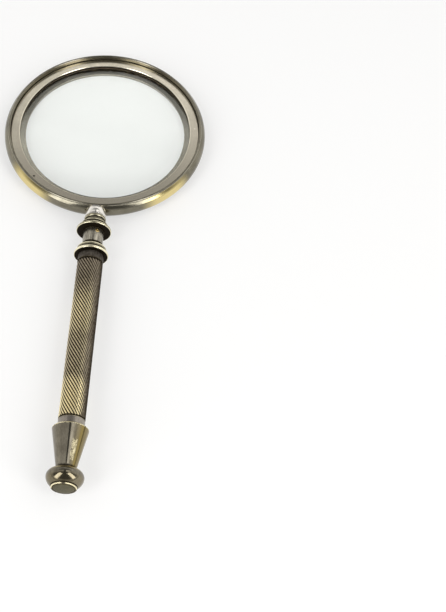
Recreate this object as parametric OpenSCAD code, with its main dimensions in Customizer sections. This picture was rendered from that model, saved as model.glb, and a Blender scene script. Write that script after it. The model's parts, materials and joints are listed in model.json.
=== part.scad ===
// Hand lens: a turned brass frame ring with a screwed-in retaining ring, and a fluted handle.
// Z is the optical axis and Z = 0 is the underside of the frame ring, which the axis goes through.
// The handle runs along -Y at half the height of the ring. Sizes are in millimetres.

/* [Glass] */
// Diameter of the glass
lens_d = 75; // [60:1:90]
// Thickness of the glass at its edge
lens_edge = 1.5; // [1:0.1:3]
// Radius of curvature of each face of the glass
lens_curve_r = 330; // [250:10:500]
// Gap all round the glass in its seat
lens_gap = 0.15; // [0.05:0.05:0.4]
// Height of the lower crown of the glass above the underside of the ring
crown_lift = 0.15; // [0.05:0.05:1]
// Width of the packing ring on top of the glass
packing_w = 0.9; // [0.5:0.05:1.2]
// Thickness of the packing ring
packing_t = 0.3; // [0.2:0.05:1]

/* [Frame ring] */
// How far the seat lip of the frame ring reaches in under the glass
seat_lip = 3.4; // [1:0.1:5]
// How far the retaining ring reaches in over the edge of the glass
edge_cover = 0.9; // [0.8:0.05:2]
// Width of the shoulder between the lens bore and the thread of the retaining ring
shoulder_w = 2.9; // [1.5:0.1:4]
// Thickness of the retaining ring at its rim
retainer_t = 1.05; // [0.8:0.05:2.5]
// Rise of the top of the retaining ring from its rim to its window
retainer_rise = 0.15; // [0:0.05:0.5]
// Bevel round the window of the retaining ring
retainer_bevel = 0.25; // [0.1:0.05:0.5]
// Width of the bead that stands round the retaining ring
bead_w = 1.05; // [0.8:0.05:2]
// Height of the bead above the rim of the retaining ring
bead_rise = 2.05; // [1:0.05:3]
// Depth of the crease between the bead and the outer wall
crease = 0.15; // [0.1:0.05:0.5]
// Bulge of the outer wall past its upper and lower edges
wall_bulge = 1.75; // [0.8:0.05:2]
// Gap left between the retaining ring and its shoulder, so that it bears on the packing ring
retainer_gap = 0.3; // [0.1:0.05:0.6]

/* [Neck] */
// Diameter of the round boss on the frame ring
boss_d = 8.7; // [7.5:0.1:10]
// Length of the boss beyond the widest line of the frame ring
boss_len = 2.6; // [2:0.1:5]
// Length of the boss beyond its own widest line
boss_land = 2.2; // [0.6:0.1:2.6]
// Diameter of the bead washer between boss and handle
washer_d = 9; // [7.5:0.1:11]
// Thickness of the bead washer
washer_t = 1.4; // [1.1:0.1:2.5]
// Bulge of the rounded edge of the bead washer
washer_bulge = 0.45; // [0.2:0.05:0.5]
// Diameter of the spool and of the necks of both collars
neck_d = 8.4; // [7.5:0.1:9.5]
// Length of the spool between the collars
spool_len = 6.9; // [5:0.1:12]
// Length of the neck above the upper collar
upper_neck = 0.9; // [0.4:0.05:2]
// Diameter of the step on the upper collar
upper_step_d = 11; // [10.2:0.1:12]
// Thickness of the step on the upper collar
upper_step_t = 0.7; // [0.2:0.05:1.5]
// Diameter of the rim of the upper collar
upper_rim_d = 14.4; // [12.5:0.1:17]
// Diameter of the step on the lower collar
lower_step_d = 12.1; // [10.2:0.1:12.6]
// Thickness of the step on the lower collar
lower_step_t = 1.35; // [0.2:0.05:2]
// Diameter of the rim of the lower collar
lower_rim_d = 14.1; // [13:0.1:17]
// Thickness of the rim of both collars
rim_t = 0.95; // [0.6:0.05:2]
// Diameter of the cross pin
pin_d = 1.8; // [1:0.1:2]
// Distance from the rim of the upper collar to the cross pin
pin_drop = 1.5; // [1.2:0.1:3]
// Turn of the cross pin from upright, towards +X
pin_turn = 24; // [0:1:90]
// How far the ends of the cross pin stand out
pin_proud = 0.1; // [0.05:0.01:0.3]

/* [Grip] */
// Diameter of the grip over its flutes
grip_d = 10.5; // [9.5:0.1:14]
// Length of the fluted grip
grip_len = 72.1; // [50:0.1:100]
// Bore of the grip
grip_bore = 7.4; // [6:0.1:8]
// Number of flutes
flute_n = 26; // [16:1:32]
// Depth of the flutes
flute_depth = 0.4; // [0.2:0.05:0.6]
// Length over which a flute makes one full turn
flute_lead = 49.6; // [35:0.1:80]
// Diameter of the plain ferrules at the ends of the grip
ferrule_d = 10.4; // [9.2:0.1:14]
// Length of each ferrule outside the grip
ferrule_len = 3.6; // [2:0.05:8]
// Length of the spigot of each ferrule inside the grip
spigot_len = 6; // [3:0.5:15]

/* [Pommel] */
// Diameter of the pommel cone at its shoulder
cone_top_d = 14.2; // [12:0.1:18]
// Diameter of the pommel cone at its foot
cone_foot_d = 7.6; // [6.4:0.1:9]
// Length of the pommel cone
cone_len = 17; // [10:0.5:25]
// Bevel on the shoulder of the pommel cone
cone_bevel = 0.5; // [0.2:0.05:1]
// Diameter of the knob at its widest
knob_d = 14.5; // [13:0.1:18]
// Diameter of the knob where it meets the cone
knob_neck_d = 8.4; // [7.6:0.1:10]
// Length of the knob above its widest line
knob_upper = 3.1; // [2:0.05:5]
// Length of the knob from its widest line to its end rim
knob_lower = 3.85; // [2.5:0.05:6]
// Diameter of the end rim
end_rim_d = 9.9; // [9.4:0.1:12]
// Length of the end rim
end_rim_len = 0.7; // [0.4:0.05:1.5]
// Diameter of the end button
button_d = 8.6; // [7.4:0.1:9]
// Thickness of the head of the end button
button_t = 1.5; // [1:0.05:2.5]
// How far the end button stands out of the knob
button_proud = 0.15; // [0.05:0.05:0.5]
// Diameter of the barrel of the end button
barrel_d = 6; // [5.2:0.1:6.8]
// Length of the barrel of the end button
barrel_len = 3.5; // [2:0.1:4.5]

/* [Tie rod and fits] */
// Diameter of the tie rod and its threads
rod_d = 4; // [3:0.1:4.4]
// Metal left between the tapped hole and the retaining ring
tap_floor = 0.45; // [0.3:0.05:1]
// Gap beyond each end of the tie rod
rod_end_gap = 0.3; // [0.1:0.05:0.6]
// Radial gap in a screw thread
thread_gap = 0.05; // [0.02:0.01:0.1]
// Radial gap between pieces that are pushed together
push_gap = 0.03; // [0.01:0.01:0.1]
// Gap between faces that come apart, and round the glass where it is held
face_gap = 0.04; // [0.02:0.01:0.1]

/* [Hidden] */
$fn = 96;

brass = [0.62, 0.54, 0.36];
dark_brass = [0.42, 0.38, 0.28];
bright_brass = [0.78, 0.68, 0.42];
clear_glass = [0.84, 0.9, 0.89, 0.4];
brown_card = [0.34, 0.26, 0.18];

// Room that a cut reaches past the surface it opens
past = 1;
// Facets round the large spheres of the glass
glass_fn = 360;
// Length of one slice of the twisted grip
twist_step = 1.5;
// Points along each swell of the knob
swell_steps = 10;

// Radius of an arc that bulges by a height over a chord
function arc_r(chord, bulge) = (chord * chord / 4 + bulge * bulge) / (2 * bulge);

// Radii of the two rings, from the seat lip outwards
lens_r = lens_d / 2;
seat_r = lens_r - seat_lip;
window_r = lens_r - edge_cover;
bore_r = lens_r + lens_gap;
thread_r = bore_r + shoulder_w;
bead_out_r = thread_r + bead_w;
wall_edge_r = bead_out_r - crease;
ring_r = wall_edge_r + wall_bulge;

// The bead is a little wider than its half round, so that the bore cuts it cleanly
bead_bite = 0.1;
bead_r = (bead_w + bead_bite) / 2;

// Depth of a face of the glass below its crown, at a radius
function sag(r) = lens_curve_r - sqrt(lens_curve_r * lens_curve_r - r * r);
lens_centre_t = 2 * sag(lens_r) + lens_edge;
function glass_top(r) = crown_lift + lens_centre_t - sag(r);

// Heights in the frame ring, from the underside upwards
seat_z = crown_lift + sag(seat_r) - face_gap;
packing_z = glass_top(lens_r - packing_w) + face_gap;
retainer_z = packing_z + packing_t + face_gap;
shoulder_z = retainer_z - retainer_gap;
ring_h = retainer_z + retainer_t + bead_rise;
wall_h = ring_h - bead_r;
wall_arc_r = arc_r(wall_h, wall_bulge);
axis_z = ring_h / 2;

// Places along the handle, from the optical axis
boss_end = ring_r + boss_len;
washer_s = boss_end + face_gap;
upper_s = washer_s + washer_t + face_gap;
spool_s = upper_s + upper_neck + (upper_rim_d - neck_d) / 2 + upper_step_t + rim_t;
pin_s = spool_s + pin_drop;
lower_s = spool_s + spool_len;
upper_ferrule_s = lower_s + (lower_rim_d - neck_d) / 2 + lower_step_t + rim_t;
grip_s = upper_ferrule_s + ferrule_len;
grip_end = grip_s + grip_len;
cone_s = grip_end + ferrule_len;
knob_s = cone_s + cone_len;
knob_end = knob_s + knob_upper + knob_lower + end_rim_len;
button_s = knob_end + button_proud - button_t;
tap_s = thread_r + tap_floor;
rod_s = tap_s + rod_end_gap;

// Bores and spigots
tap_d = rod_d + 2 * thread_gap;
rod_bore = rod_d + 2 * push_gap;
spigot_d = grip_bore - 2 * push_gap;

// Puts a piece on the handle's axis, with its own Z along the handle
module on_axis(s) {
    translate([0, -s, axis_z]) rotate([90, 0, 0]) children();
}

// A bore along the handle's axis
module bore(d, from, to) {
    on_axis(from) cylinder(d = d, h = to - from);
}

// Outer shape of the frame ring, from its axis out to the wall and the bead, grown by a gap
module rim_section(grow = 0) {
    square([wall_edge_r - crease, wall_h]);
    intersection() {
        translate([ring_r - wall_arc_r, wall_h / 2]) circle(r = wall_arc_r + grow);
        translate([0, -grow]) square([ring_r + past, wall_h + 2 * grow]);
    }
    translate([bead_out_r - bead_r, wall_h]) circle(r = bead_r + grow);
}

// Section that widens from one radius to another by a hollow quarter round, then runs straight
module cove_section(from_r, to_r, straight) {
    cove = to_r - from_r;
    difference() {
        square([to_r, cove + straight]);
        translate([to_r, 0]) circle(r = cove);
    }
}

// A collar that swells from the neck to a step and from the step to a rim
module collar(neck_len, step_d, step_t, rim_d) {
    step_z = neck_len + (step_d - neck_d) / 2 + step_t;
    rim_z = step_z + (rim_d - step_d) / 2;
    rotate_extrude() {
        square([neck_d / 2, rim_z]);
        translate([0, neck_len]) cove_section(neck_d / 2, step_d / 2, step_t);
        translate([0, step_z]) cove_section(step_d / 2, rim_d / 2, rim_t);
    }
}

// A plain ferrule with its spigot
module ferrule() {
    difference() {
        union() {
            cylinder(d = ferrule_d, h = ferrule_len);
            cylinder(d = spigot_d, h = ferrule_len + spigot_len);
        }
        translate([0, 0, -past]) cylinder(d = rod_bore, h = ferrule_len + spigot_len + 2 * past);
    }
}

// The cross pin, or its hole
module pin_shape(d) {
    on_axis(pin_s) rotate([-90, 0, -pin_turn]) cylinder(d = d, h = neck_d + 2 * past, center = true);
}

module frame_ring() {
    color(brass) difference() {
        rotate_extrude() difference() {
            rim_section();
            translate([-past, -past]) square([seat_r + past, ring_h + 2 * past]);
            translate([-past, seat_z]) square([bore_r + past, ring_h]);
            translate([-past, shoulder_z]) square([thread_r + past, ring_h]);
        }
        bore(tap_d, tap_s, boss_end);
    }
}

module neck_boss() {
    color(bright_brass) difference() {
        on_axis(boss_end - boss_land) sphere(d = boss_d);
        on_axis(boss_end) translate([0, 0, boss_d / 2]) cube(boss_d, center = true);
        translate([0, 0, -boss_d]) cylinder(r = bead_out_r + push_gap, h = 3 * boss_d);
        rotate_extrude() rim_section(push_gap);
        bore(tap_d, tap_s, boss_end + past);
    }
}

module lens() {
    color(clear_glass) intersection() {
        translate([0, 0, crown_lift + lens_curve_r]) sphere(r = lens_curve_r, $fn = glass_fn);
        translate([0, 0, crown_lift + lens_centre_t - lens_curve_r]) sphere(r = lens_curve_r, $fn = glass_fn);
        translate([0, 0, -past]) cylinder(r = lens_r, h = lens_centre_t + 3 * past);
    }
}

module lens_packing() {
    color(brown_card) translate([0, 0, packing_z]) difference() {
        cylinder(r = lens_r, h = packing_t);
        translate([0, 0, -past]) cylinder(r = lens_r - packing_w, h = packing_t + 2 * past);
    }
}

module retaining_ring() {
    out_r = thread_r - thread_gap;
    top = retainer_t + retainer_rise;
    color(dark_brass) translate([0, 0, retainer_z]) rotate_extrude() polygon([
        [window_r, 0],
        [out_r, 0],
        [out_r, retainer_t],
        [window_r + retainer_bevel, top],
        [window_r, top - retainer_bevel]
    ]);
}

module neck_washer() {
    edge_r = arc_r(washer_t, washer_bulge);
    color(brass) difference() {
        on_axis(washer_s) rotate_extrude() {
            square([washer_d / 2 - edge_r, washer_t]);
            intersection() {
                translate([washer_d / 2 - edge_r, washer_t / 2]) circle(r = edge_r);
                square([washer_d, washer_t]);
            }
        }
        bore(tap_d, washer_s - past, upper_s);
    }
}

module upper_collar() {
    color(bright_brass) difference() {
        on_axis(upper_s) collar(upper_neck, upper_step_d, upper_step_t, upper_rim_d);
        bore(rod_bore, upper_s - past, spool_s + past);
    }
}

module neck_spool() {
    color(dark_brass) difference() {
        on_axis(spool_s) cylinder(d = neck_d, h = spool_len);
        bore(rod_bore, spool_s - past, lower_s + past);
        pin_shape(pin_d + 2 * push_gap);
    }
}

module cross_pin() {
    color(bright_brass) intersection() {
        pin_shape(pin_d);
        on_axis(spool_s) cylinder(d = neck_d + 2 * pin_proud, h = spool_len);
    }
}

module lower_collar() {
    color(bright_brass) difference() {
        on_axis(lower_s) collar(0, lower_step_d, lower_step_t, lower_rim_d);
        bore(rod_bore, lower_s - past, upper_ferrule_s + past);
    }
}

module upper_ferrule() {
    color(dark_brass) on_axis(upper_ferrule_s) ferrule();
}

module grip() {
    crest = grip_d / 2;
    root = crest - flute_depth;
    color(brass) difference() {
        on_axis(grip_s) linear_extrude(
            height = grip_len,
            twist = 360 * grip_len / flute_lead,
            slices = round(grip_len / twist_step)
        ) polygon([
            for (i = [0 : 2 * flute_n - 1])
                let (r = i % 2 == 0 ? crest : root, a = 180 * i / flute_n)
                    [r * cos(a), r * sin(a)]
        ]);
        bore(grip_bore, grip_s - past, grip_end + past);
    }
}

module lower_ferrule() {
    color(dark_brass) on_axis(cone_s) mirror([0, 0, 1]) ferrule();
}

module tie_rod() {
    color(bright_brass) difference() {
        bore(rod_d, rod_s, button_s);
        pin_shape(pin_d + 2 * push_gap);
    }
}

module pommel_cone() {
    color(brass) difference() {
        on_axis(cone_s) rotate_extrude() polygon([
            [0, 0],
            [cone_top_d / 2 - cone_bevel, 0],
            [cone_top_d / 2, cone_bevel],
            [cone_foot_d / 2, cone_len],
            [0, cone_len]
        ]);
        bore(rod_bore, cone_s - past, knob_s + past);
    }
}

// Points of a swell from an end radius to the widest radius, along an ellipse
function swell(end_r, wide_r, len) = let (end_a = acos(end_r / wide_r)) [
    for (i = [0 : swell_steps])
        let (a = end_a * (1 - i / swell_steps))
            [wide_r * cos(a), len * (1 - sin(a) / sin(end_a))]
];

module pommel_knob() {
    rim_z = knob_upper + knob_lower;
    lower = swell(end_rim_d / 2, knob_d / 2, knob_lower);
    color(brass) difference() {
        on_axis(knob_s) rotate_extrude() polygon(concat(
            [[0, 0]],
            swell(knob_neck_d / 2, knob_d / 2, knob_upper),
            [for (i = [swell_steps - 1 : -1 : 0]) [lower[i].x, rim_z - lower[i].y]],
            [[end_rim_d / 2, rim_z + end_rim_len], [0, rim_z + end_rim_len]]
        ));
        bore(rod_bore, knob_s - past, knob_end);
        bore(barrel_d + 2 * push_gap, button_s - barrel_len, knob_end);
        bore(button_d + 2 * push_gap, button_s, knob_end + past);
    }
}

module end_button() {
    color(dark_brass) difference() {
        union() {
            bore(button_d, button_s, button_s + button_t);
            bore(barrel_d, button_s - barrel_len, button_s + button_t / 2);
        }
        bore(rod_bore, button_s - barrel_len - past, button_s + rod_end_gap);
    }
}

frame_ring();
neck_boss();
lens();
lens_packing();
retaining_ring();
neck_washer();
upper_collar();
neck_spool();
cross_pin();
lower_collar();
upper_ferrule();
grip();
lower_ferrule();
tie_rod();
pommel_cone();
pommel_knob();
end_button();
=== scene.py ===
# Old brass hand lens: the looks of every piece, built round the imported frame.
# Sizes are in millimetres and become metres when a piece is drawn.
import json
import math
import bpy
from mathutils import Matrix, Vector, kdtree


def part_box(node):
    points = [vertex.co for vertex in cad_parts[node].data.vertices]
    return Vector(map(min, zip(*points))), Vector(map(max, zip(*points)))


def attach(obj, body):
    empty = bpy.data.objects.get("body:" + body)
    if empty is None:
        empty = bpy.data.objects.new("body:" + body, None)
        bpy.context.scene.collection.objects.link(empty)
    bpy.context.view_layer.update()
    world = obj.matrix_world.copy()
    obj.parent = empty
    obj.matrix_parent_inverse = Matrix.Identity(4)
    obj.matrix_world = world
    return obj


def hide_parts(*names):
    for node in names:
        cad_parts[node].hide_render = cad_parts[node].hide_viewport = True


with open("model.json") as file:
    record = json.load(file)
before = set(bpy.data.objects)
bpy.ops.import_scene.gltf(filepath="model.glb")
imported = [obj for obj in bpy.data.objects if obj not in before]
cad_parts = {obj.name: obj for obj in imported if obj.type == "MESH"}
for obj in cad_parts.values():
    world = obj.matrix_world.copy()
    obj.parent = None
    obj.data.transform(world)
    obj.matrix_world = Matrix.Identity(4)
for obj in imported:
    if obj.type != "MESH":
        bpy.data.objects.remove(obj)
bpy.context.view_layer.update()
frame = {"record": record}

mm = 0.001
weldGap = 0.002          # points closer than this become one
easeSteps = 4            # faces round an eased edge
easeShare = 0.45         # most of a side that an eased edge may take up
sharpAngle = 42          # edges sharper than this stay crisp in the shading
fits = {"thread": 0.05, "push": 0.03, "face": 0.04, "rodEnd": 0.3}      # gaps where pieces meet


def boxOf(node):
    low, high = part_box(node)
    return low / mm, high / mm


def spanOf(node):        # where a piece of the handle starts and ends, from the optical axis
    low, high = boxOf(node)
    return -high.y, -low.y


def heightsOf(node):     # lower and upper face of a piece of the head
    low, high = boxOf(node)
    return low.z, high.z


def radiusOf(node):      # widest radius of a turned piece
    low, high = boxOf(node)
    return (high.x - low.x) / 2


ringBottom, ringTop = heightsOf("frame_ring")
axisHeight = (ringBottom + ringTop) / 2
tapRadius = radiusOf("tie_rod") + fits["thread"]     # tapped holes for the tie rod
rodBore = radiusOf("tie_rod") + fits["push"]         # holes that it is pushed through
bodyOf = {n: b for b, nodes in frame["record"]["behaviour"]["bodies"].items() for n in nodes}


def smooth(value, low, high):
    t = min(1, max(0, (value - low) / (high - low)))
    return t * t * (3 - 2 * t)


# Outlines: lists of (distance from the axis, place along the axis), with an edge radius where one is wanted
def arc(middle, radius, start, end, steps):
    angles = [math.radians(start + (end - start) * i / steps) for i in range(steps + 1)]
    return [(middle[0] + radius * math.cos(a), middle[1] + radius * math.sin(a)) for a in angles]


def bulgeArc(outer, start, end, bulge, steps, grow=0):       # bulges out to a radius between two places
    chord = end - start
    radius = (chord ** 2 / 4 + bulge ** 2) / (2 * bulge)
    swing = math.degrees(math.asin(chord / 2 / radius))
    return arc((outer - radius, (start + end) / 2), radius + grow, -swing, swing, steps)


def easeCorners(corners, closed):
    eased = []
    for index, corner in enumerate(corners):
        here = Vector(corner[:2])
        atEnd = not closed and index in (0, len(corners) - 1)
        if len(corner) < 3 or atEnd:
            eased.append(here)
            continue
        back = Vector(corners[index - 1][:2]) - here
        ahead = Vector(corners[(index + 1) % len(corners)][:2]) - here
        room = min(back.length, ahead.length) * easeShare
        cut = min(corner[2] / math.tan(back.angle(ahead) / 2), room)
        first, last = here + back.normalized() * cut, here + ahead.normalized() * cut
        for step in range(easeSteps + 1):
            t = step / easeSteps
            eased.append(first * (1 - t) ** 2 + here * 2 * t * (1 - t) + last * t ** 2)
    return eased


def splitStretches(points, longest, closed):
    split = []
    following = points[1:] + (points[:1] if closed else [])
    for here, there in zip(points, following):
        parts = max(1, math.ceil((there - here).length / longest))
        split += [here.lerp(there, i / parts) for i in range(parts)]
    return split if closed else split + [points[-1]]


def drawOutline(name, points, closed):
    bpy.ops.object.select_all(action="DESELECT")
    bpy.ops.mesh.primitive_plane_add(size=mm)
    piece = bpy.context.object
    piece.name = piece.data.name = name
    bpy.ops.object.mode_set(mode="EDIT")
    bpy.ops.mesh.select_all(action="SELECT")
    bpy.ops.mesh.merge(type="CENTER")            # the plane melts to one point, which is then drawn out
    bpy.ops.transform.translate(value=points[0])
    following = points[1:] + (points[:1] if closed else [])
    for here, there in zip(points, following):
        bpy.ops.mesh.extrude_vertices_move(TRANSFORM_OT_translate={"value": there - here})
    return piece


def closeMesh():
    bpy.ops.mesh.select_all(action="SELECT")
    bpy.ops.mesh.remove_doubles(threshold=weldGap * mm)
    bpy.ops.mesh.normals_make_consistent(inside=False)
    bpy.ops.object.mode_set(mode="OBJECT")


def shadeEdges(angle=sharpAngle):
    bpy.ops.object.shade_smooth_by_angle(angle=math.radians(angle))


def inSection(point, onHandle):
    x, y, z = point / mm
    return (math.hypot(x, z - axisHeight), -y) if onHandle else (math.hypot(x, y), z)


# Turns an outline round the handle's axis or round the optical axis
def turnOutline(name, outline, onHandle, closed, steps):
    if onHandle:
        points = [Vector((u, -v, axisHeight)) * mm for u, v in outline]
    else:
        points = [Vector((u, 0, v)) * mm for u, v in outline]
    piece = drawOutline(name, points, closed)
    bpy.ops.mesh.select_all(action="SELECT")
    axis = (0, 1, 0) if onHandle else (0, 0, 1)
    bpy.ops.mesh.spin(steps=steps, angle=math.tau, center=(0, 0, axisHeight * mm), axis=axis)
    closeMesh()
    shadeEdges()
    return piece


def turnPiece(name, corners, onHandle=True, closed=True, steps=144, longest=0.45, **marks):
    outline = splitStretches(easeCorners(corners, closed), longest, closed)
    piece = turnOutline(name, outline, onHandle, closed, steps)
    markWear(piece, outline, onHandle, closed, **marks)
    return piece


# How far the outline turns outwards (above 0) or inwards (below 0) near each of its points
def turnsNear(outline, closed, reach):
    count = len(outline)
    ring = outline + outline[:1]
    area = sum(a.cross(b) for a, b in zip(ring, ring[1:]))
    lengths = [(b - a).length for a, b in zip(ring, ring[1:])]
    places = [sum(lengths[:i]) for i in range(count)]
    whole = sum(lengths)
    turns = []
    for index in range(count):
        back = outline[index] - outline[index - 1]
        ahead = outline[(index + 1) % count] - outline[index]
        ended = not closed and index in (0, count - 1)
        turn = math.atan2(back.cross(ahead), back.dot(ahead)) * math.copysign(1, area)
        turns.append(0 if ended else turn)
    near = []
    for here in places:
        apart = [abs(there - here) for there in places]
        apart = [min(gap, whole - gap) if closed else gap for gap in apart]
        near.append(sum(turn * (1 - gap / reach) for turn, gap in zip(turns, apart) if gap < reach))
    return near


# Wear, grime and gilding are attributes of a piece, which its finish reads; on some pieces they also carry
# painted highlights, shade and reflections
markNames = ("wear", "grimeAndShade", "gilt")


def writeMarks(piece, marksAt):
    for name in markNames:
        piece.data.attributes.new(name, "FLOAT", "POINT")
    layers = [piece.data.attributes[name].data for name in markNames]
    for vertex in piece.data.vertices:
        for layer, value in zip(layers, marksAt(vertex.co)):
            layer[vertex.index].value = value


# Edges that turn outwards are worn and those that turn inwards are grimy. grimeAt lists more grime as
# (distance from the axis, place along it, reach); share gives, at a point of the section, how much of the
# edge wear is kept; three functions of (x, y, z) give extra wear, grime and gilding, which on some pieces
# are painted highlights, painted shade and painted reflections
def markWear(piece, outline, onHandle, closed, reach=0.5, grimeAt=(), share=None, rubbed=None, sooted=None,
             gilded=None):
    near = turnsNear(outline, closed, reach)
    tree = kdtree.KDTree(len(outline))
    for index, (u, v) in enumerate(outline):
        tree.insert((u, v, 0), index)
    tree.balance()

    def marksAt(point):
        u, v = inSection(point, onHandle)
        place = point / mm
        turn = near[tree.find((u, v, 0))[1]]
        edge = turn * share(u, v) if share else turn
        dirtAndShade = [1 - math.hypot(u - a, v - b) / size for a, b, size in grimeAt]
        dirtAndShade.append(sooted(*place) if sooted else 0)
        wear = max(0, edge, rubbed(*place) if rubbed else 0)
        return wear, min(1, max(0, -turn, *dirtAndShade)), gilded(*place) if gilded else 0

    writeMarks(piece, marksAt)


def handOver(piece, node, finish):
    piece.data.materials.clear()
    piece.data.materials.append(finish)
    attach(piece, bodyOf[node])
    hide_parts(node)
    print("made", piece.name, len(piece.data.polygons), "faces")


# Finishes
def newFinish(name):
    finish = bpy.data.materials.new(name)
    finish.use_nodes = True
    return finish, finish.node_tree, finish.node_tree.nodes["Principled BSDF"]


def addNode(tree, kind, inputs=None, **settings):
    node = tree.nodes.new("ShaderNode" + kind)
    for key, value in settings.items():
        setattr(node, key, value)
    for key, value in (inputs or {}).items():
        plug(tree, node.inputs[key], value)
    return node


def plug(tree, socket, value):
    if isinstance(value, bpy.types.NodeSocket):
        tree.links.new(value, socket)
    else:
        socket.default_value = value


def math2(tree, operation, first, second):
    return addNode(tree, "Math", {0: first, 1: second}, operation=operation).outputs[0]


def times(tree, first, second):
    return math2(tree, "MULTIPLY", first, second)


def blend(tree, amount, first, second):
    return addNode(tree, "Mix", {0: amount, 2: first, 3: second}).outputs[0]


def blendColour(tree, amount, first, second):
    node = addNode(tree, "Mix", data_type="RGBA")
    for key, value in (("Factor_Float", amount), ("A_Color", first), ("B_Color", second)):
        socket = next(s for s in node.inputs if s.identifier == key)
        plug(tree, socket, value)
    return next(s for s in node.outputs if s.identifier == "Result_Color")


def ramp(tree, value, low, high, toLow=0.0, toHigh=1.0):
    node = addNode(tree, "MapRange", {"Value": value, "From Min": low, "From Max": high,
                                      "To Min": toLow, "To Max": toHigh}, interpolation_type="SMOOTHSTEP")
    return node.outputs["Result"]


def noise(tree, vector, size, detail=3, roughness=0.5):
    return addNode(tree, "TexNoise", {"Vector": vector, "Scale": 1 / size, "Detail": detail,
                                      "Roughness": roughness}).outputs[0]


def markOf(tree, name):
    return addNode(tree, "Attribute", attribute_name=name).outputs["Fac"]


def inMillimetres(tree):
    inMetres = addNode(tree, "TexCoord").outputs["Object"]
    return addNode(tree, "Mapping", {"Vector": inMetres, "Scale": (1 / mm,) * 3}).outputs[0]


# Aged brass, which every brass finish starts from
agedBrass = {
    "dark": (0.105, 0.095, 0.070), "light": (0.27, 0.25, 0.19), "worn": (0.84, 0.71, 0.40),
    # the grime colour also paints shade
    "grimeAndShade": (0.020, 0.015, 0.009), "gilt": (0.60, 0.48, 0.22),
    "patch": 9.0, "mottle": 1.1, "grain": 0.22,       # sizes of blotches, mottling and fine grain
    "mottleShare": 0.3,
    "streak": (3.0, 0.25, 3.0), "streakShare": 0.35,  # streaks per millimetre along X, Y and Z
    "lathe": 0.0, "latheLine": 0.35,                  # share and width of lines from turning
    "toneLow": 0.30, "toneHigh": 0.70,
    "wearLow": 0.45, "wearHigh": 0.95, "wearBreak": 0.7,         # where wear sets in, and how broken it is
    "grimeLow": 0.15, "grimeHigh": 0.8, "grimeBreak": 0.5,
    "rough": (0.24, 0.40), "wornRough": 0.17, "grimeRough": 0.75,
    "bump": 0.35, "bumpDepth": 0.02, "bumpStreaks": 0.45, "bumpGrain": 0.2,
    "pits": (), "dings": (), "spotCore": 0.4,         # (place, radius) of dark pits and of bright dings
}
noiseMiddle = 0.5


def spots(tree, place, marks, core, amount):
    for middle, size in marks:
        away = addNode(tree, "VectorMath", {0: place, 1: middle}, operation="DISTANCE").outputs["Value"]
        amount = math2(tree, "MAXIMUM", amount, ramp(tree, away, size, size * core))
    return amount


def brassFinish(name, changes):
    look = {**agedBrass, **changes}
    finish, tree, shader = newFinish(name)
    place = inMillimetres(tree)
    stretched = addNode(tree, "Mapping", {"Vector": place, "Scale": look["streak"]}).outputs[0]
    patches = noise(tree, place, look["patch"])
    mottle = noise(tree, place, look["mottle"], detail=4, roughness=0.62)
    grain = noise(tree, place, look["grain"], detail=2)
    streaks = noise(tree, stretched, 1, detail=4)
    if look["lathe"]:
        flat = addNode(tree, "VectorMath", {0: place, 1: (1, 1, 0)}, operation="MULTIPLY").outputs[0]
        radius = addNode(tree, "VectorMath", {0: flat}, operation="LENGTH").outputs["Value"]
        lines = addNode(tree, "TexNoise", {"W": radius, "Scale": 1 / look["latheLine"], "Detail": 3},
                        noise_dimensions="1D").outputs[0]
        streaks = blend(tree, look["lathe"], streaks, lines)
    # tone of the patina
    tone = blend(tree, look["mottleShare"], blend(tree, look["streakShare"], patches, streaks), mottle)
    patina = blendColour(tree, ramp(tree, tone, look["toneLow"], look["toneHigh"]),
                         (*look["dark"], 1), (*look["light"], 1))
    # golden tint, which on the frame and the cone partly paints reflections
    patina = blendColour(tree, markOf(tree, "gilt"), patina, (*look["gilt"], 1))
    # bright metal where it is rubbed and where a highlight is painted; soot and painted shade where nothing
    # rubs it
    broken = math2(tree, "SUBTRACT", blend(tree, 0.5, mottle, streaks), noiseMiddle)
    rubbed = math2(tree, "ADD", markOf(tree, "wear"), times(tree, broken, look["wearBreak"]))
    rubbed = ramp(tree, rubbed, look["wearLow"], look["wearHigh"])
    worn = spots(tree, place, look["dings"], look["spotCore"], rubbed)
    sootyAndShaded = math2(tree, "ADD", markOf(tree, "grimeAndShade"), times(tree, broken, -look["grimeBreak"]))
    sootyAndShaded = ramp(tree, sootyAndShaded, look["grimeLow"], look["grimeHigh"])
    soot = spots(tree, place, look["pits"], look["spotCore"], sootyAndShaded)
    metal = blendColour(tree, worn, patina, (*look["worn"], 1))
    plug(tree, shader.inputs["Base Color"], blendColour(tree, soot, metal, (*look["grimeAndShade"], 1)))
    shader.inputs["Metallic"].default_value = 1.0
    # gloss
    satin = ramp(tree, tone, look["toneLow"], look["toneHigh"], look["rough"][1], look["rough"][0])
    gloss = blend(tree, worn, satin, look["wornRough"])
    plug(tree, shader.inputs["Roughness"], blend(tree, soot, gloss, look["grimeRough"]))
    # skin of the metal
    relief = blend(tree, look["bumpGrain"], blend(tree, look["bumpStreaks"], mottle, streaks), grain)
    bump = addNode(tree, "Bump", {"Height": relief, "Strength": look["bump"],
                                  "Distance": look["bumpDepth"] * mm})
    plug(tree, shader.inputs["Normal"], bump.outputs[0])
    return finish


lensGlass = {"tint": (0.905, 0.92, 0.905), "index": 1.5,
             "smear": (0.0, 0.03), "smearSize": 14.0, "smearFrom": (0.45, 0.75)}


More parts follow.
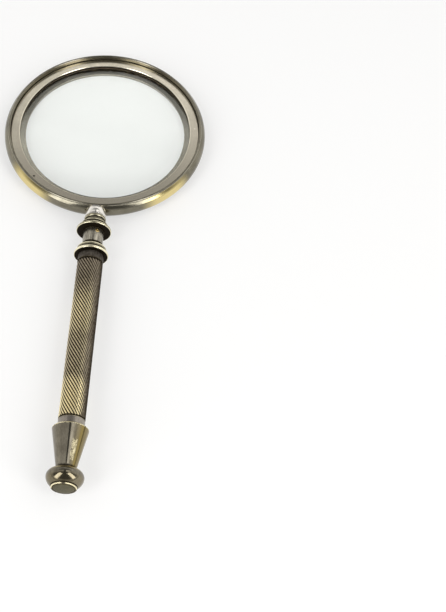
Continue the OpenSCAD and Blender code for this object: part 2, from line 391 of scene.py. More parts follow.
def glassFinish(name):
    finish, tree, shader = newFinish(name)
    shader.inputs["Base Color"].default_value = (*lensGlass["tint"], 1)
    shader.inputs["Transmission Weight"].default_value = 1.0
    shader.inputs["IOR"].default_value = lensGlass["index"]
    smear = noise(tree, inMillimetres(tree), lensGlass["smearSize"], detail=4)
    plug(tree, shader.inputs["Roughness"], ramp(tree, smear, *lensGlass["smearFrom"], *lensGlass["smear"]))
    # lamps shine through the glass, so that its shadow stays light
    lightPath = addNode(tree, "LightPath").outputs["Is Shadow Ray"]
    clear = addNode(tree, "BsdfTransparent", {"Color": (*lensGlass["tint"], 1)}).outputs[0]
    mixed = addNode(tree, "MixShader", {0: lightPath, 1: shader.outputs[0], 2: clear}).outputs[0]
    tree.links.new(mixed, tree.nodes["Material Output"].inputs["Surface"])
    return finish


packingCard = {"brown": (0.055, 0.036, 0.020), "tan": (0.13, 0.092, 0.055), "fibre": 0.35, "rough": 0.85,
               "bump": 0.6, "bumpDepth": 0.05}


def cardFinish(name):
    finish, tree, shader = newFinish(name)
    fibre = noise(tree, inMillimetres(tree), packingCard["fibre"], detail=5)
    plug(tree, shader.inputs["Base Color"],
         blendColour(tree, fibre, (*packingCard["brown"], 1), (*packingCard["tan"], 1)))
    shader.inputs["Roughness"].default_value = packingCard["rough"]
    bump = addNode(tree, "Bump", {"Height": fibre, "Strength": packingCard["bump"],
                                  "Distance": packingCard["bumpDepth"] * mm})
    plug(tree, shader.inputs["Normal"], bump.outputs[0])
    return finish


# The glass: two shallow domes and a ground edge
glass = {"curve": 330.0, "edge": 0.12, "steps": 192, "rings": 26, "longest": 3.0}


def domeRise(radius):        # how far the lower dome has risen at a distance from the middle
    return glass["curve"] - math.sqrt(glass["curve"] ** 2 - radius ** 2)


def makeGlass(finish):
    low, high = heightsOf("lens")
    rim = radiusOf("lens")
    swing = math.degrees(math.asin(rim / glass["curve"]))
    lower = arc((0, low + glass["curve"]), glass["curve"], -90, -90 + swing, glass["rings"])
    upper = arc((0, high - glass["curve"]), glass["curve"], 90 - swing, 90, glass["rings"])
    corners = [*lower[:-1], (*lower[-1], glass["edge"]), (*upper[0], glass["edge"]), *upper[1:]]
    piece = turnPiece("glassLens", corners, False, False, glass["steps"], glass["longest"])
    handOver(piece, "lens", finish)


# The frame ring: seat lip for the glass, thread wall, bead, crease and a rounded outer wall
frameRing = {
    "seatLip": 3.4, "lensGap": 0.15, "beadRadius": 0.54, "beadWidth": 1.05, "beadSweep": (-5, 160, 14),
    "creaseDepth": 0.2, "wallBulge": 1.75, "wallSteps": 32, "edge": 0.18, "fineEdge": 0.1, "steps": 288,
    "goldAndSheen": 0.9, "goldAlong": (20.0, 28.0), "goldAcross": (18.0, 26.0),   # where the wall is golden: partly rubbed brass, partly a painted golden reflection of the lamps
    "beadWear": 0.45, "lipWear": 0.75,
    "footShade": 0.45, "footReach": 1.6,                 # painted shade, darker towards the foot of the wall
    "creaseGrime": 0.3, "threadGrime": 0.4,
}
threadRadius = radiusOf("retaining_ring") + fits["thread"]
beadEdge = threadRadius + frameRing["beadWidth"]


def wallCurve(grow=0):       # outer wall of the frame ring, from its foot up to the crease
    size = frameRing
    wallTop = ringTop - size["beadRadius"] - size["creaseDepth"] / 2
    return bulgeArc(radiusOf("frame_ring"), 0, wallTop, size["wallBulge"], size["wallSteps"], grow)


def makeFrameRing(finish):
    size = frameRing
    fine = size["fineEdge"]
    lip = radiusOf("lens") - size["seatLip"]
    bore = radiusOf("lens") + size["lensGap"]
    seat = heightsOf("lens")[0] + domeRise(lip) - fits["face"]
    shoulder = heightsOf("lens_packing")[0] + fits["face"]
    retainerTop = heightsOf("retaining_ring")[1]
    wall = wallCurve()
    beadMiddle = (beadEdge - size["beadRadius"], ringTop - size["beadRadius"])
    bead = arc(beadMiddle, size["beadRadius"], *size["beadSweep"])
    crease = (wall[-1][0] - size["creaseDepth"], wall[-1][1])
    corners = [
        (lip, 0, size["edge"]), (wall[0][0], 0, size["edge"]), *wall[1:-1], (*wall[-1], fine), crease,
        *bead, (threadRadius, bead[-1][1]), (threadRadius, shoulder),
        (bore, shoulder, fine), (bore, seat), (lip, seat, fine),
    ]

    def onWall(x, y, z):
        return math.hypot(x, y) > crease[0] and z < crease[1]

    # painted golden reflection, partly rubbed brass: the near wall is tinted gold where the lamps mirror in
    # it
    def gilded(x, y, z):
        towardsHandle = smooth(-y, *size["goldAlong"]) * smooth(abs(x), *size["goldAcross"])
        return size["goldAndSheen"] * towardsHandle if onWall(x, y, z) else 0

    # painted shade at the foot of the wall
    def sooted(x, y, z):
        return size["footShade"] * (1 - z / size["footReach"]) if onWall(x, y, z) else 0

    def rubbed(x, y, z):     # the seat lip, which the glass keeps clean
        return size["lipWear"] if math.hypot(x, y) < bore and z > seat / 2 else 0

    piece = turnPiece("frameRing", corners, False, steps=size["steps"],
                      rubbed=rubbed, sooted=sooted, gilded=gilded,
                      share=lambda u, v: 0 if u < bore else size["beadWear"],
                      grimeAt=[(*crease, size["creaseGrime"]),
                               (threadRadius, retainerTop, size["threadGrime"])])
    handOver(piece, "frame_ring", finish)


# The flat ring that screws down on the glass
retainingRing = {
    "cover": 0.9, "rise": 0.15, "bevel": 0.16, "rimBevel": 0.28, "rimDrop": 0.25, "groove": 0.2,
    "edge": 0.08, "footEdge": 0.1, "rimEdge": 0.06, "steps": 256, "longest": 0.3, "rimGrime": 0.3,
    "wallSkin": 0.03, "wallLitTop": 0.1,          # the window's wall gets painted shade, but for its top
}


def makeRetainingRing(finish):
    size = retainingRing
    low, high = heightsOf("retaining_ring")
    outer = radiusOf("retaining_ring")
    window = radiusOf("lens") - size["cover"]
    rimTop = high - size["rise"]
    wallTop = high - size["bevel"]
    rimFoot = rimTop - size["rimDrop"]
    middle = (low + rimFoot) / 2
    corners = [
        (window, low, size["footEdge"]), (outer, low, size["edge"]), (outer, middle - size["groove"]),
        (outer - size["groove"], middle), (outer, middle + size["groove"]),
        (outer, rimFoot, size["rimEdge"]), (outer - size["rimBevel"], rimTop, size["edge"]),
        (window + size["bevel"], high, size["edge"]), (window, wallTop, size["edge"]),
    ]

    # painted shade on the window's inner wall
    def sooted(x, y, z):
        return math.hypot(x, y) < window + size["wallSkin"] and z < wallTop - size["wallLitTop"]

    piece = turnPiece("retainingRing", corners, False, steps=size["steps"], longest=size["longest"],
                      grimeAt=[(outer, rimFoot, size["rimGrime"])], sooted=sooted)
    handOver(piece, "retaining_ring", finish)


packing = {"width": 0.9, "edge": 0.06, "steps": 192}


def makePacking(finish):
    low, high = heightsOf("lens_packing")
    outer = radiusOf("lens_packing")
    inner = outer - packing["width"]
    places = ((inner, low), (outer, low), (outer, high), (inner, high))
    corners = [(*place, packing["edge"]) for place in places]
    handOver(turnPiece("packingRing", corners, False, steps=packing["steps"]), "lens_packing", finish)


# The domed boss that is soldered to the ring, hollowed to fit its wall
neckBoss = {"land": 2.2, "edge": 0.2, "ballSteps": 36, "steps": 144, "longest": 0.3, "footGrime": 0.6,
            "hollowFrom": 34.0, "hollowHeight": 12.0}


def makeNeckBoss(finish):
    size = neckBoss
    end = spanOf("neck_boss")[1]
    wide = radiusOf("neck_boss")
    middle = end - size["land"]
    foot = math.degrees(math.asin(size["land"] / wide))
    top = math.degrees(math.acos(tapRadius / wide))
    ball = arc((0, middle), wide, -top, foot, size["ballSteps"])
    corners = [*ball[:-1], (*ball[-1], size["edge"]), (tapRadius, end)]
    outline = splitStretches(easeCorners(corners, True), size["longest"], True)
    inner, face = size["hollowFrom"], beadEdge + fits["push"]
    low, high = axisHeight - size["hollowHeight"], axisHeight + size["hollowHeight"]
    wall = [point for point in wallCurve(fits["push"]) if point[0] > face]
    hollow = [(inner, low), (face, low), *wall, (face, high), (inner, high)]
    cutter = turnOutline("bossHollow", [Vector(p) for p in hollow], False, True, frameRing["steps"])
    piece = turnOutline("neckBoss", outline, True, True, size["steps"])
    cut = piece.modifiers.new("hollow", "BOOLEAN")
    cut.object = cutter
    cut.operation = "DIFFERENCE"
    cut.solver = "EXACT"
    bpy.ops.object.modifier_apply(modifier=cut.name)
    bpy.data.objects.remove(cutter)
    bpy.ops.object.mode_set(mode="EDIT")
    closeMesh()
    shadeEdges()
    markWear(piece, outline, True, True, grimeAt=[(*ball[-1], size["footGrime"])])
    handOver(piece, "neck_boss", finish)


# Bead washer between boss and handle
neckWasher = {"bulge": 0.45, "arcSteps": 10, "edgeWear": 0.9, "topGrime": 0.4, "footGrime": 0.5}


def makeNeckWasher(finish):
    size = neckWasher
    start, end = spanOf("neck_washer")
    outer = radiusOf("neck_washer")
    foot = outer - size["bulge"]
    rim = bulgeArc(outer, start, end, size["bulge"], size["arcSteps"])
    corners = [(tapRadius, start), *rim, (tapRadius, end)]
    piece = turnPiece("neckWasher", corners, share=lambda u, v: size["edgeWear"],
                      grimeAt=[(foot, start, size["topGrime"]), (foot, end, size["footGrime"])])
    handOver(piece, "neck_washer", finish)


# Stepped collars above and below the spool
upperCollar = {"neckLength": 0.9, "step": 5.5, "stepLength": 0.7, "stepWear": 1.0, "rimHighlight": 0.8}
lowerCollar = {"neckLength": 0.0, "step": 6.05, "stepLength": 1.35, "stepWear": 1.6, "rimHighlight": 2.0}
collarForm = {
    "rimLength": 0.95, "neckEdge": 0.08, "stepEdge": 0.16, "shelfEdge": 0.05, "rimEdge": 0.3,
    "arcSteps": 8, "longest": 0.3, "reach": 0.45, "rimHighlightFrom": 0.1, "neckGrime": 1.1, "shelfGrime": 0.6,
    "brightWidth": 0.25, "faceDepth": 0.05,      # the face towards the grip is darkened with painted shade and soot, but for its edge
}


def makeCollar(name, node, size, finish):
    form = collarForm
    start, end = spanOf(node)
    neck = radiusOf("neck_spool")
    rim = radiusOf(node)
    step = size["step"]
    swell = start + size["neckLength"]
    land = swell + step - neck
    shelf = land + size["stepLength"]
    corners = [
        (rodBore, start), (neck, start, form["neckEdge"]),
        *arc((step, swell), step - neck, 180, 90, form["arcSteps"])[1:-1], (step, land, form["stepEdge"]),
        (step, shelf, form["shelfEdge"]), *arc((rim, shelf), rim - step, 180, 90, form["arcSteps"])[1:-1],
        (rim, end - form["rimLength"], form["rimEdge"]), (rim, end, form["rimEdge"]), (rodBore, end),
    ]

    # painted shade and soot on the face towards the grip
    def sooted(x, y, z):
        return -y > end - form["faceDepth"] and math.hypot(x, z - axisHeight) < rim - form["brightWidth"]

    def share(u, v):
        return size["rimHighlight"] if u > step + form["rimHighlightFrom"] else size["stepWear"]

    piece = turnPiece(name, corners, longest=form["longest"], reach=form["reach"],
                      share=share, sooted=sooted,
                      grimeAt=[(neck, start, form["neckGrime"]), (step, shelf, form["shelfGrime"])])
    handOver(piece, node, finish)


# Dark spool with its cross pin
neckSpool = {"edge": 0.15, "longest": 0.3, "topGrime": 0.6, "footGrime": 0.8}


def makeSpool(finish):
    size = neckSpool
    start, end = spanOf("neck_spool")
    outer = radiusOf("neck_spool")
    corners = [(rodBore, start), (outer, start, size["edge"]), (outer, end, size["edge"]), (rodBore, end)]
    piece = turnPiece("neckSpool", corners, longest=size["longest"],
                      grimeAt=[(outer, start, size["topGrime"]), (outer, end, size["footGrime"])])
    handOver(piece, "neck_spool", finish)


crossPin = {"radius": 0.9, "crown": 0.12, "crownFrom": 0.75, "dimple": 0.4, "proud": 0.1, "turn": 24.0,
            "steps": 40, "longest": 0.12, "wear": 0.8, "rimGrime": (0.84, 1.0)}


def makeCrossPin(finish):
    size = crossPin
    start, end = spanOf("cross_pin")
    middle = Vector((0, -(start + end) / 2, axisHeight)) * mm
    half = radiusOf("neck_spool") + size["proud"]
    outline = [(0, half - size["crown"]), (size["dimple"], half),
               (size["radius"] * size["crownFrom"], half), (size["radius"], half - size["crown"])]
    outline = splitStretches([Vector(p) for p in outline], size["longest"], False)
    outline += [Vector((u, -v)) for u, v in reversed(outline)]
    piece = drawOutline("crossPin", [Vector((u, 0, v)) * mm for u, v in outline], False)
    bpy.ops.mesh.select_all(action="SELECT")
    bpy.ops.mesh.spin(steps=size["steps"], angle=math.tau, center=(0, 0, 0), axis=(0, 0, 1))
    closeMesh()
    turn = math.radians(size["turn"])
    piece.matrix_world = Matrix.Translation(middle) @ Matrix.Rotation(turn, 4, "Y")
    bpy.ops.object.transform_apply(location=True, rotation=True, scale=True)
    shadeEdges()
    facing = Vector((math.sin(turn), 0, math.cos(turn)))

    def marksAt(point):
        out = (point - middle) / mm
        across = (out - facing * out.dot(facing)).length
        return size["wear"], max(1 - across / size["dimple"], smooth(across, *size["rimGrime"])), 0

    writeMarks(piece, marksAt)
    handOver(piece, "cross_pin", finish)


# Plain bands at the ends of the grip, each with its spigot
ferrule = {"length": 3.6, "edge": 0.2, "longest": 0.35, "upperSoot": 0.55,
           "outerGrime": 1.0, "gripGrime": 0.6}


def makeFerrule(name, node, towardsPommel, finish):
    size = ferrule
    start, end = spanOf(node)
    outer = radiusOf(node)
    spigot = grip["bore"] - fits["push"]
    if not towardsPommel:
        start, end = end, start
    face = start + math.copysign(size["length"], end - start)
    corners = [(rodBore, start), (outer, start, size["edge"]), (outer, face, size["edge"]),
               (spigot, face), (spigot, end, size["edge"]), (rodBore, end)]
    piece = turnPiece(name, corners, longest=size["longest"],
                      sooted=lambda x, y, z: size["upperSoot"] if towardsPommel else 0,
                      grimeAt=[(outer, start, size["outerGrime"]), (outer, face, size["gripGrime"])])
    handOver(piece, node, finish)


def selectPoints(piece, wanted):
    bpy.ops.object.mode_set(mode="OBJECT")
    for item in (*piece.data.polygons, *piece.data.edges):
        item.select = False
    for vertex in piece.data.vertices:
        vertex.select = wanted(vertex)
    bpy.ops.object.mode_set(mode="EDIT")


def selectAcross(piece, place):      # the points that lie at one place along the handle
    selectPoints(piece, lambda vertex: abs(-vertex.co.y / mm - place) < weldGap)


# A bar whose section has ridges, twisted along the handle by the screw modifier
def twistBar(name, start, length, crest, ridges, profile, lead, steps):
    perRidge = len(profile)
    bpy.ops.object.select_all(action="DESELECT")
    bpy.ops.mesh.primitive_circle_add(vertices=ridges * perRidge, radius=crest * mm,
                                      rotation=(math.pi / 2, 0, 0))
    piece = bpy.context.object
    piece.name = piece.data.name = name
    bpy.ops.object.transform_apply(location=False, rotation=True, scale=True)
    for phase, share in enumerate(profile):
        selectPoints(piece, lambda vertex: vertex.index % perRidge == phase)
        bpy.ops.transform.resize(value=(share,) * 3, center_override=(0, 0, 0))
    bpy.ops.object.mode_set(mode="OBJECT")
    screw = piece.modifiers.new("twist", "SCREW")
    screw.axis = "Y"
    screw.steps = screw.render_steps = steps
    screw.screw_offset = -length * mm
    screw.angle = math.tau * length / lead
    screw.use_normal_calculate = True
    bpy.ops.object.modifier_apply(modifier=screw.name)
    piece.location = Vector((0, -start, axisHeight)) * mm
    bpy.ops.object.transform_apply(location=True, rotation=True, scale=True)
    return piece


# Draws the end of a bar out by a length while its width changes by a share
def drawEnd(piece, place, length, share):
    selectAcross(piece, place)
    bpy.ops.mesh.extrude_region_move(TRANSFORM_OT_translate={"value": (0, -length * mm, 0)})
    middle = Vector((0, -(place + length), axisHeight)) * mm
    bpy.ops.transform.resize(value=(share, 1, share), center_override=middle)


# Fluted grip
grip = {
    "ridges": 26, "depth": 0.42, "lead": 49.6, "bore": 3.7, "boreReach": 0.05, "chamfer": 0.18,
    "steps": 150, "sharp": 60,
    "bite": (0.0, 0.10, 0.42, 0.80, 1.0, 0.80, 0.42, 0.10),   # depth of the flute at steps across one ridge
    "rubbedAt": ((94.0, 11.0, 0.34), (133.5, 11.0, 1.05)),    # where the hand rubs it, how far, how much
    "plainWear": 0.66, "topWear": 0.42, "topLength": 20.0,    # wear elsewhere, and share of it near the top
    "rightWearShaded": 0.2, "rightFrom": (0.35, 0.9),               # share of the wear on the right side, kept low as painted shade
    # painted shade: the right side of the grip is darkened
    "rightShade": 0.65, "rightShadeFrom": (0.45, 1.0),
    "fluteGrime": 1.5, "topGrime": 1.2, "footGrime": 1.0,
}


def makeGrip(finish):
    size = grip
    start, end = spanOf("grip")
    crest = radiusOf("grip")
    depth = size["depth"]
    profile = [1 - depth * bite / crest for bite in size["bite"]]
    first, last = start + size["chamfer"], end - size["chamfer"]
    piece = twistBar("flutedGrip", first, last - first, crest, size["ridges"], profile, size["lead"],
                     size["steps"])
    slope = 1 - size["chamfer"] / crest
    for place, length in ((first, -size["chamfer"]), (last, size["chamfer"])):
        drawEnd(piece, place, length, slope)
        drawEnd(piece, place + length, 0, size["bore"] / crest / slope)
        bpy.ops.transform.tosphere(value=1)
    inner = size["bore"] + size["boreReach"]
    selectPoints(piece, lambda vertex: inSection(vertex.co, True)[0] < inner)
    bpy.ops.mesh.bridge_edge_loops()
    closeMesh()
    shadeEdges(size["sharp"])

    def marksAt(point):
        u, v = inSection(point, True)
        height = min(1, max(0, (u - crest + depth) / depth))
        byHand = max(much * (1 - (abs(v - place) / reach) ** 2) for place, reach, much in size["rubbedAt"])
        across = point.x / mm / crest
        # painted shade: the right side keeps less wear and gets darker
        side = 1 - (1 - size["rightWearShaded"]) * smooth(across, *size["rightFrom"])
        side *= 1 - (1 - size["topWear"]) * smooth(start - v, -size["topLength"], 0)
        ends = max(1 - (v - start) / size["topGrime"], 1 - (end - v) / size["footGrime"])
        shade = size["rightShade"] * smooth(across, *size["rightShadeFrom"])
        wear = height * side * (size["plainWear"] + max(0, byHand))
        return wear, max(0, 1 - height * size["fluteGrime"], ends, shade), 0

    writeMarks(piece, marksAt)
    handOver(piece, "grip", finish)


# Tie rod: a plain shaft with a cut thread at the top
tieRod = {"threadLength": 6.3, "pitch": 0.7, "threadDepth": 0.3, "sides": 24, "stepsPerTurn": 20,
          "threadSharp": 30, "edge": 0.3, "steps": 64, "longest": 4.0}


def makeTieRod(finish):
    size = tieRod
    start, end = spanOf("tie_rod")
    outer = radiusOf("tie_rod")
    threadEnd = start + size["threadLength"]
    half = size["sides"] / 2
    profile = [1 - size["threadDepth"] * (1 - abs(i - half) / half) / outer for i in range(size["sides"])]
    turns = size["threadLength"] / size["pitch"]
    thread = twistBar("tieRodThread", start, size["threadLength"], outer, 1, profile, -size["pitch"],
                      round(turns * size["stepsPerTurn"]))
    for place in (start, threadEnd):
        selectAcross(thread, place)
        bpy.ops.mesh.edge_face_add()
    closeMesh()
    shadeEdges(size["threadSharp"])
    corners = [(0, threadEnd), (outer, threadEnd), (outer, end, size["edge"]), (0, end)]
    shaft = turnPiece("tieRod", corners, closed=False, steps=size["steps"], longest=size["longest"])
    thread.select_set(True)
    bpy.context.view_layer.objects.active = shaft
    bpy.ops.object.join()
    handOver(shaft, "tie_rod", finish)


# Pommel: cone, knob and end button
pommelCone = {
    "foot": 3.8, "bevel": 0.5, "edge": 0.25, "footEdge": 0.1, "longest": 0.4, "footGrime": 1.3,
    # marks, from and to in degrees round the cone; the rubbed patch also has a share of the length
    "scuff": 0.74, "scuffRound": (12, 42), "scuffAlong": (0.28, 0.96),
    "gilt": 0.65, "giltRound": (10, 150),        # golden side, partly the metal's tint and partly a painted reflection
    "brown": 0.35, "brownRound": (38, 60),       # browner band down that side, a painted dark reflection
    "soot": 0.55, "sootRound": (49, 59),         # painted dark reflection line in the band
    "fade": 0.5,                                 # share of a mark that fades out
}


def makePommelCone(finish):
    size = pommelCone
    start, end = spanOf("pommel_cone")
    top = radiusOf("pommel_cone")
    corners = [(rodBore, start), (top - size["bevel"], start, size["edge"]),
               (top, start + size["bevel"], size["edge"]), (size["foot"], end, size["footEdge"]),
               (rodBore, end)]

    def between(value, low, high):
        middle, half = (low + high) / 2, (high - low) / 2
        return smooth(half - abs(value - middle), 0, half * size["fade"])

    def markRound(name, x, z):       # degrees are from the cone's top, to the right
        around = math.degrees(math.atan2(x, z - axisHeight))
        return size[name] * between(around, *size[name + "Round"])

    def rubbed(x, y, z):
        place = (-y - start) / (end - start)
        return markRound("scuff", x, z) * between(place, *size["scuffAlong"])

    # painted reflections: golden side, browner band and dark line run down the cone at fixed places round
    # it
    piece = turnPiece("pommelCone", corners, longest=size["longest"], rubbed=rubbed,
                      gilded=lambda x, y, z: markRound("gilt", x, z) + markRound("brown", x, z),
                      sooted=lambda x, y, z: markRound("soot", x, z),
                      grimeAt=[(size["foot"], end, size["footGrime"])])
    handOver(piece, "pommel_cone", finish)


pommelKnob = {
    "neck": 4.2, "upper": 3.1, "lower": 3.85, "endRim": 4.95, "swellSteps": 16,
    "edge": 0.2, "seatEdge": 0.12, "longest": 0.4, "neckGrime": 0.9, "rimGrime": 0.4, "seatGrime": 0.35,
    "rimHighlight": 1.0, "rimHighlightGap": (0.3, 0.9), "rimHighlightFrom": (-1.5, 0.5),     # end rim: a painted highlight on its upper sides, dark in the middle of its top and below
    "rimDepth": 0.3, "rimInset": 0.1, "rimApart": 0.5,
    "gilt": 0.9, "giltEnd": 0.8, "giltFade": 1.0,                     # golden shoulder
    "bellyGilt": 0.2, "bellyFade": 1.5,
}


def swellArc(endRadius, wide, length):
    steps = pommelKnob["swellSteps"]
    endAngle = math.acos(endRadius / wide)
    angles = [endAngle * (1 - i / steps) for i in range(steps + 1)]
    return [(wide * math.cos(a), length * (1 - math.sin(a) / math.sin(endAngle))) for a in angles]


def makePommelKnob(finish):
    size = pommelKnob
    start, end = spanOf("pommel_knob")
    buttonStart, buttonEnd = spanOf("end_button")
    wide = radiusOf("pommel_knob")
    barrel = endButton["barrel"] + fits["push"]
    seatRadius = radiusOf("end_button") + fits["push"]
    seat = buttonEnd - endButton["head"]
    rimPlace = start + size["upper"] + size["lower"]
    upper = [(u, start + v) for u, v in swellArc(size["neck"], wide, size["upper"])]
    lower = [(u, rimPlace - v) for u, v in reversed(swellArc(size["endRim"], wide, size["lower"]))]
    corners = [(rodBore, start), *upper, *lower[1:], (size["endRim"], end, size["edge"]),
               (seatRadius, end, size["seatEdge"]), (seatRadius, seat), (barrel, seat),
               (barrel, buttonStart), (rodBore, buttonStart)]

    # painted highlight: the end rim is bright on its upper left and right only
    def rubbed(x, y, z):
        up = z - axisHeight
        onRim = -y > end - size["rimDepth"] and math.hypot(x, up) > seatRadius + size["rimInset"]
        wear = size["rimHighlight"] * smooth(up, *size["rimHighlightFrom"]) * smooth(abs(x), *size["rimHighlightGap"])
        return wear if onRim else 0

    def gilded(x, y, z):
        shoulder = smooth(start + size["upper"] * size["giltEnd"] + y, 0, size["giltFade"])
        belly = smooth(-y - start - size["upper"], 0, size["bellyFade"])
        return size["gilt"] * shoulder + size["bellyGilt"] * belly

    piece = turnPiece("pommelKnob", corners, longest=size["longest"], rubbed=rubbed, gilded=gilded,
                      share=lambda u, v: 0 if v > rimPlace - size["rimApart"] else 1,
                      grimeAt=[(size["neck"], start, size["neckGrime"]),
                               (size["endRim"], rimPlace, size["rimGrime"]),
                               (seatRadius, end, size["seatGrime"])])
    handOver(piece, "pommel_knob", finish)


endButton = {"head": 1.5, "barrel": 3.0, "barrelEdge": 0.1, "edge": 0.15, "longest": 0.35, "rimGrime": 0.6,
             "crown": 0.12, "crownFrom": 0.8, "crownDrop": 0.3, "crownEdge": 1.0}


def makeEndButton(finish):
    size = endButton
    start, end = spanOf("end_button")
    outer = radiusOf("end_button")
    neck = end - size["head"]
    floor = spanOf("tie_rod")[1] + fits["rodEnd"]
    rim = end - size["crown"]
    corners = [(0, floor), (rodBore, floor), (rodBore, start), (size["barrel"], start, size["barrelEdge"]),
               (size["barrel"], neck), (outer, neck), (outer, rim, size["edge"]),
               (outer * size["crownFrom"], end - size["crown"] * size["crownDrop"], size["crownEdge"]),
               (0, end)]
    piece = turnPiece("endButton", corners, closed=False, longest=size["longest"],
                      grimeAt=[(outer, rim, size["rimGrime"])])
    handOver(piece, "end_button", finish)


# Floor, lamps and camera
floorPlane = {"size": 30.0, "white": (0.5, 0.5, 0.497), "rough": 0.9, "lift": 0.48, "contact": 0.3}


def makeFloor():
    # the lens rests on the far edge of the ring and on the rim of the upper collar
    collarEnd = spanOf("upper_collar")[1]
    collarDrop = radiusOf("upper_collar") - axisHeight
    ringFoot = radiusOf("frame_ring") - frameRing["wallBulge"]
    slope = math.atan2(collarDrop, collarEnd - floorPlane["contact"] + ringFoot)
    bpy.ops.object.select_all(action="DESELECT")
    bpy.ops.mesh.primitive_plane_add(size=floorPlane["size"])
    floor = bpy.context.object
    floor.name = "floor"
    floor.location = Vector((0, ringFoot, 0)) * mm
    floor.rotation_euler = (slope, 0, 0)
    bpy.ops.object.transform_apply(location=True, rotation=True, scale=True)
    finish, tree, shader = newFinish("paleFloor")
    shader.inputs["Base Color"].default_value = (*floorPlane["white"], 1)
    shader.inputs["Roughness"].default_value = floorPlane["rough"]
    shader.inputs["Specular IOR Level"].default_value = 0.0
    # seen directly, in the metal and through the glass, the floor is lifted towards white
    rays = addNode(tree, "LightPath").outputs
    seen = math2(tree, "MAXIMUM", rays["Is Camera Ray"], rays["Is Glossy Ray"])
    seen = math2(tree, "MAXIMUM", seen, rays["Is Transmission Ray"])
    shader.inputs["Emission Color"].default_value = (1, 1, 1, 1)
    plug(tree, shader.inputs["Emission Strength"], times(tree, seen, floorPlane["lift"]))
    floor.data.materials.append(finish)
    print("made the floor, tilted by", round(math.degrees(slope), 2), "degrees")


# Two soft boxes in front, left and right; places and sizes in metres
lamps = {
    "left": {"place": (-0.72, -0.88, 0.76), "size": (0.50, 1.25), "radiance": 4.3},
    "right": {"place": (0.72, -0.70, 0.70), "size": (0.44, 1.12), "radiance": 4.3},
}
lampTarget = Vector((0, -0.06, 0))


def makeLamp(name, lamp):
    away = Vector(lamp["place"]) - lampTarget
    bpy.ops.object.light_add(type="AREA", location=lamp["place"])
    light = bpy.context.object
    light.name = name + "Lamp"
    light.rotation_euler = away.to_track_quat("Z", "Y").to_euler()
    light.data.shape = "RECTANGLE"
    light.data.size, light.data.size_y = lamp["size"]
    light.data.energy = lamp["radiance"] * math.pi * lamp["size"][0] * lamp["size"][1]
    light.visible_camera = False


# The surroundings that the metal mirrors: strengths, and the X, Y or Z of the directions where they set in
studioSky = {
    "tint": (1.0, 0.99, 0.97),
    "low": 1.05, "lowEnd": (0.25, 0.60),                                       # behind, from the floor up
    "middleLeft": 0.84, "middle": 1.12, "middleFrom": (-0.20, 0.02),
    "high": 0.28, "highFrom": (0.735, 0.81),
    "back": 0.25, "backFrom": (0.80, 0.90), "backTop": (0.55, 0.42),           # dark patch low at the back
    "frontLow": 0.7, "front": 0.18, "frontRise": (0.12, 0.38), "frontEnd": (-0.30, 0.15),
    "panel": 0.85, "panelFront": (-0.10, 0.0), "panelBack": (0.32, 0.22),      # pale panel overhead
    "panelLow": (0.55, 0.65), "panelSides": (0.80, 0.65),
    "strip": 1.9, "stripLeft": (0.06, 0.20), "stripRight": (0.62, 0.30),       # brighter part of it
    "slit": 0.1, "slitSides": (0.114, 0.076), "slitLow": (0.94, 0.98),         # dark slit in the panel
}


def makeSky():
    size = studioSky
    world = bpy.data.worlds.new("studioSky")
    bpy.context.scene.world = world
    world.use_nodes = True
    tree = world.node_tree
    sky = tree.nodes["Background"]
    way = addNode(tree, "SeparateXYZ", {0: addNode(tree, "TexCoord").outputs["Generated"]}).outputs
    aside = addNode(tree, "Math", {0: way["X"]}, operation="ABSOLUTE").outputs[0]
    middle = ramp(tree, way["X"], *size["middleFrom"], size["middleLeft"], size["middle"])
    behind = ramp(tree, way["Z"], *size["lowEnd"], size["low"], middle)
    behind = blend(tree, ramp(tree, way["Z"], *size["highFrom"]), behind, size["high"])
    lowBack = times(tree, ramp(tree, way["Y"], *size["backFrom"]), ramp(tree, way["Z"], *size["backTop"]))
    behind = blend(tree, lowBack, behind, size["back"])
    front = ramp(tree, way["Z"], *size["frontRise"], size["frontLow"], size["front"])
    level = blend(tree, ramp(tree, way["Y"], *size["frontEnd"]), front, behind)
    overhead = ramp(tree, way["Y"], *size["panelBack"])
    overhead = times(tree, overhead, ramp(tree, way["Z"], *size["panelLow"]))
    overhead = times(tree, overhead, ramp(tree, way["Y"], *size["panelFront"]))
    panel = times(tree, overhead, ramp(tree, aside, *size["panelSides"]))
    level = blend(tree, panel, level, size["panel"])
    strip = times(tree, ramp(tree, way["X"], *size["stripLeft"]), ramp(tree, way["X"], *size["stripRight"]))
    level = blend(tree, times(tree, overhead, strip), level, size["strip"])
    slit = times(tree, ramp(tree, way["Z"], *size["slitLow"]), ramp(tree, aside, *size["slitSides"]))
    plug(tree, sky.inputs["Strength"], blend(tree, slit, level, size["slit"]))
    sky.inputs["Color"].default_value = (*size["tint"], 1)
    print("made the sky")


viewpoint = {"azimuth": -2.653, "elevation": 57.616, "tilt": 6.277, "offset": (50.985, -75.076, 606.784),
             "lens": 82.353, "sensor": 36.0, "nearest": 10.0}


def makeCamera():
    turn = (Matrix.Rotation(math.radians(viewpoint["azimuth"]), 4, "Z")
            @ Matrix.Rotation(math.radians(90 - viewpoint["elevation"]), 4, "X")
            @ Matrix.Rotation(math.radians(viewpoint["tilt"]), 4, "Z"))
    middle = Matrix.Translation(Vector((0, 0, axisHeight)) * mm)
    offset = Matrix.Translation(Vector(viewpoint["offset"]) * mm)
    bpy.ops.object.camera_add()
    camera = bpy.context.object
    camera.name = "photoView"
    camera.matrix_world = middle @ turn @ offset
    camera.data.lens = viewpoint["lens"]
    camera.data.sensor_width = viewpoint["sensor"]
    camera.data.clip_start = viewpoint["nearest"] * mm
    bpy.context.scene.camera = camera
    print("made the camera")


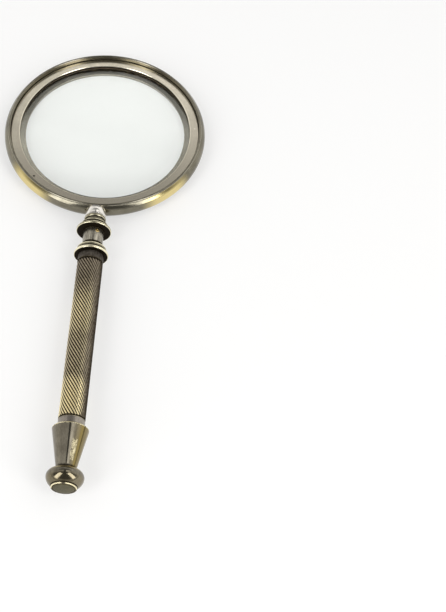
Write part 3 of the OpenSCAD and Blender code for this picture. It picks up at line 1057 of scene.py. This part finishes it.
# How each finish differs from plain aged brass
pommelLook = {
    # the worn colour also paints the bright highlight on the knob's end rim
    "dark": (0.12, 0.106, 0.08), "light": (0.265, 0.24, 0.188), "worn": (0.93, 0.83, 0.54),
    "gilt": (0.28, 0.215, 0.08), "rough": (0.08, 0.16), "streak": (1.6, 0.16, 1.6), "wearBreak": 1.3,
    "mottleShare": 0.15, "bump": 0.2,
}
brassLooks = {
    "frameBrass": {
        "dark": (0.145, 0.134, 0.10), "light": (0.26, 0.24, 0.185), "worn": (0.57, 0.53, 0.44),
        # the gilt colour is bright enough to paint the lamps' golden reflection on the wall
        "gilt": (0.80, 0.66, 0.30), "rough": (0.13, 0.22), "streak": (0.6, 0.6, 3.0), "mottleShare": 0.12,
        "wearLow": 0.3, "wearHigh": 1.2, "wearBreak": 0.3, "bump": 0.12,
    },
    "retainerBrass": {
        "dark": (0.60, 0.555, 0.455), "light": (0.76, 0.70, 0.57), "worn": (0.90, 0.84, 0.69),
        "rough": (0.18, 0.28), "streak": (0.8, 0.8, 0.8), "streakShare": 0.6, "lathe": 0.6,
        "mottleShare": 0.15, "bump": 0.2,
        "pits": (((-27.6, -27.4, 5.4), 0.65),), "dings": (((38.5, 4.5, 5.4), 0.4),),
    },
    "bossBrass": {
        "dark": (0.66, 0.63, 0.58), "light": (0.90, 0.87, 0.81), "worn": (0.92, 0.89, 0.82),
        "rough": (0.16, 0.24), "mottleShare": 0.15, "bump": 0.15,
    },
    "neckBrass": {
        "dark": (0.145, 0.132, 0.094), "light": (0.40, 0.37, 0.255), "worn": (0.95, 0.88, 0.64),
        "rough": (0.14, 0.28),
    },
    "spoolBrass": {
        "dark": (0.145, 0.132, 0.108), "light": (0.50, 0.465, 0.38), "toneLow": 0.38, "toneHigh": 0.62,
        "rough": (0.22, 0.36), "streak": (2.2, 0.14, 2.2), "streakShare": 0.8, "mottleShare": 0.15,
    },
    "pinBrass": {"worn": (0.74, 0.53, 0.20)},
    "ferruleBrass": {"dark": (0.165, 0.144, 0.124), "light": (0.355, 0.32, 0.275), "rough": (0.22, 0.36)},
    "gripBrass": {
        "dark": (0.186, 0.152, 0.112), "light": (0.39, 0.332, 0.245), "worn": (0.95, 0.81, 0.475),
        "patch": 14.0, "rough": (0.30, 0.42), "wornRough": 0.25, "wearLow": 0.25, "wearHigh": 1.1,
    },
    "rodBrass": {"dark": (0.48, 0.39, 0.21), "light": (0.80, 0.66, 0.37), "rough": (0.22, 0.34)},
    "coneBrass": {**pommelLook, "streak": (3.2, 0.5, 3.2), "wearBreak": 2.4, "mottle": 0.55},
    "pommelBrass": pommelLook,
    "buttonBrass": {"dark": (0.040, 0.034, 0.013), "light": (0.118, 0.101, 0.042), "rough": (0.22, 0.36)},
}
brass = {name: brassFinish(name, look) for name, look in brassLooks.items()}
print("mixed the finishes")

makeFrameRing(brass["frameBrass"])
makeNeckBoss(brass["bossBrass"])
makeGlass(glassFinish("clearGlass"))
makePacking(cardFinish("brownCard"))
makeRetainingRing(brass["retainerBrass"])
makeNeckWasher(brass["neckBrass"])
makeCollar("upperCollar", "upper_collar", upperCollar, brass["neckBrass"])
makeSpool(brass["spoolBrass"])
makeCrossPin(brass["pinBrass"])
makeCollar("lowerCollar", "lower_collar", lowerCollar, brass["neckBrass"])
makeFerrule("upperFerrule", "upper_ferrule", True, brass["ferruleBrass"])
makeGrip(brass["gripBrass"])
makeFerrule("lowerFerrule", "lower_ferrule", False, brass["ferruleBrass"])
makeTieRod(brass["rodBrass"])
makePommelCone(brass["coneBrass"])
makePommelKnob(brass["pommelBrass"])
makeEndButton(brass["buttonBrass"])

makeFloor()
for lampName, lamp in lamps.items():
    makeLamp(lampName, lamp)
print("hung the lamps")
makeSky()
makeCamera()
bpy.context.scene.view_settings.view_transform = "Standard"
